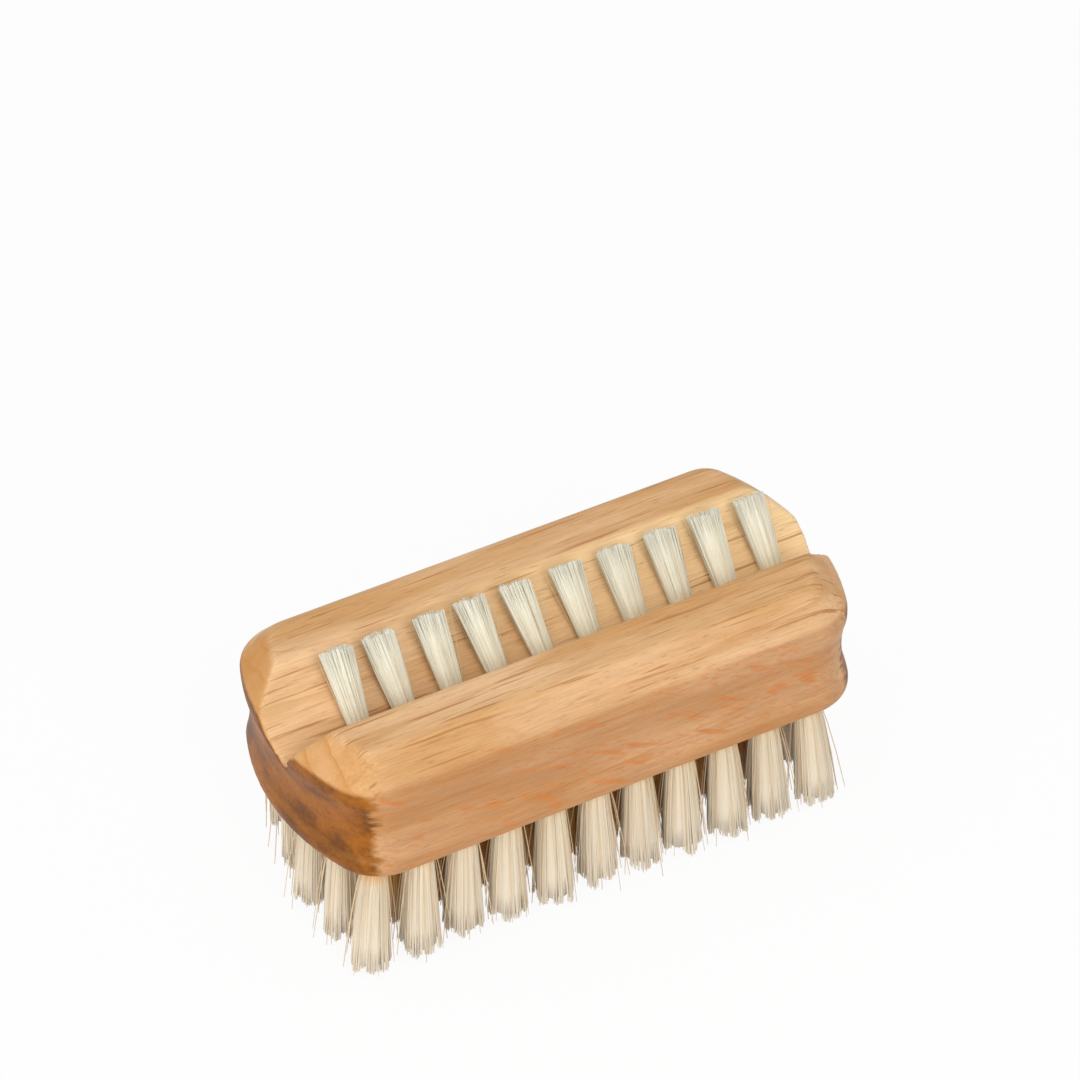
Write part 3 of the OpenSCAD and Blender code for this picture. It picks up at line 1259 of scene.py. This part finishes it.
@dataclass
class Studio:
    """The floor, the lamps and the camera."""

    azimuth: float = -26.0786
    elevation: float = 40.4204
    roll: float = -2.9192
    distance_mm: float = 913.59
    px_per_mm: float = 6.4461
    centre_px: Point = (545.1, 648.6)
    target_mm: Triple = (0.0, 0.0, 33.5)
    frame_px: float = 1080.0
    sensor_mm: float = 36.0
    white: str = "#FFFFFF"
    lamp_away: float = 0.7
    lamp_up: float = 0.03
    paper_share: float = 0.93
    all_round: float = 0.58

    def place_camera(self) -> None:
        """Sets the camera at the photograph's angle, aimed so as to need no shift."""
        a, e, r = (math.radians(v) for v in (self.azimuth, self.elevation, self.roll))
        back = Vector(
            (math.sin(a) * math.cos(e), -math.cos(a) * math.cos(e), math.sin(e))
        )
        level = Vector((math.cos(a), math.sin(a), 0))
        right = level * math.cos(r) + back.cross(level) * math.sin(r)
        up = -level * math.sin(r) + back.cross(level) * math.cos(r)
        focal_px = self.px_per_mm * self.distance_mm
        off_x = (self.centre_px[0] - self.frame_px / 2) / focal_px
        off_y = (self.centre_px[1] - self.frame_px / 2) / focal_px
        forward = (-back - right * off_x + up * off_y).normalized()
        right = forward.cross(up).normalized()
        up = right.cross(forward)
        camera = bpy.data.cameras.new("camera")
        camera.sensor_width = self.sensor_mm
        camera.lens = self.sensor_mm * focal_px / self.frame_px
        eye = bpy.data.objects.new("camera", camera)
        turn = Matrix((right, up, -forward)).transposed()
        eye.matrix_world = Matrix.Translation(
            (Vector(self.target_mm) + back * self.distance_mm) * 0.001
        ) @ turn.to_4x4()
        bpy.context.scene.collection.objects.link(eye)
        bpy.context.scene.camera = eye

    def lamp(self, name: str, toward: Triple, size: float, watts: float) -> None:
        """Hangs a soft square lamp that faces the brush.

        Args:
            name: The lamp's name.
            toward: The direction in which it hangs.
            size: Its width in metres.
            watts: Its power.
        """
        light = bpy.data.lights.new(name, "AREA")
        light.shape = "SQUARE"
        light.size = size
        light.energy = watts
        lamp = bpy.data.objects.new(name, light)
        way = Vector(toward).normalized()
        lamp.location = way * self.lamp_away + Vector((0, 0, self.lamp_up))
        lamp.rotation_euler = way.to_track_quat("Z", "Y").to_euler()
        bpy.context.scene.collection.objects.link(lamp)

    def lay_floor(self) -> None:
        """Lays a white floor that keeps the shadow and isn't seen from below."""
        Bench.clear()
        bpy.ops.mesh.primitive_circle_add(
            vertices=64, radius=2.5, fill_type="NGON", location=(0, 0, 0)
        )
        floor = bpy.context.object
        floor.name = "floor"
        material = bpy.data.materials.new("Paper_white_matt")
        graph = Graph(material)
        path = graph.add("LightPath").outputs
        behind = graph.add("NewGeometry").outputs["Backfacing"]
        matt = graph.add("BsdfDiffuse", {"Color": "#F2F2F2"})
        glow = graph.add("Emission", {"Color": self.white, "Strength": 1.0})
        rays = path["Is Camera Ray"], path["Is Glossy Ray"]
        seen = graph.add("Math", rays, **LARGER)
        share = graph.add("Math", (seen, self.paper_share), **TIMES)
        white = graph.add("MixShader", (share, matt, glow))
        clear = graph.add("BsdfTransparent")
        both = graph.add("MixShader", (behind, white, clear))
        graph.add("OutputMaterial", {"Surface": both})
        floor.data.materials.append(material)

    def light_world(self) -> None:
        """Lights from all round, and is white where the camera sees it."""
        world = bpy.data.worlds.new("studio")
        bpy.context.scene.world = world
        graph = Graph(world)
        path = graph.add("LightPath").outputs
        fill = graph.add("Background", {"Color": "#FAF9F6", "Strength": self.all_round})
        white = graph.add("Background", {"Color": self.white, "Strength": 1.0})
        rays = path["Is Camera Ray"], path["Is Glossy Ray"]
        seen = graph.add("Math", rays, **LARGER)
        seen = graph.add("Math", (seen, path["Is Transmission Ray"]), **LARGER)
        mix = graph.add("MixShader", (seen, fill, white))
        graph.add("OutputWorld", {"Surface": mix})

    def build(self) -> None:
        """Sets up the whole studio."""
        bpy.context.scene.view_settings.view_transform = "Standard"
        self.light_world()
        self.lay_floor()
        self.lamp("key", (-0.08, -0.78, 0.62), 0.3, 1.6)
        self.lamp("overhead", (-0.1, 0.1, 1.0), 0.6, 0.75)
        self.lamp("fill", (-0.9, -0.4, 0.22), 0.5, 1.9)
        self.place_camera()
        LOG.info("studio: ready")


def main() -> None:
    """Builds the brush and its studio in order."""
    logging.basicConfig(level=logging.INFO, format="%(name)s: %(message)s")
    block = Block()
    bristles = Bristles(block)
    block.build(bristles.drill(), OiledBeech().material())
    bristles.build(
        NaturalBristle().material(),
        NaturalBristle(
            name="Hog_bristle_cream", shaft="#F4E4C8", tip="#F8ECD8"
        ).material(),
    )
    dress_anchors(bristles.row_count, DrawnSteel().material())
    Studio().build()


if __name__ == "__main__":
    main()
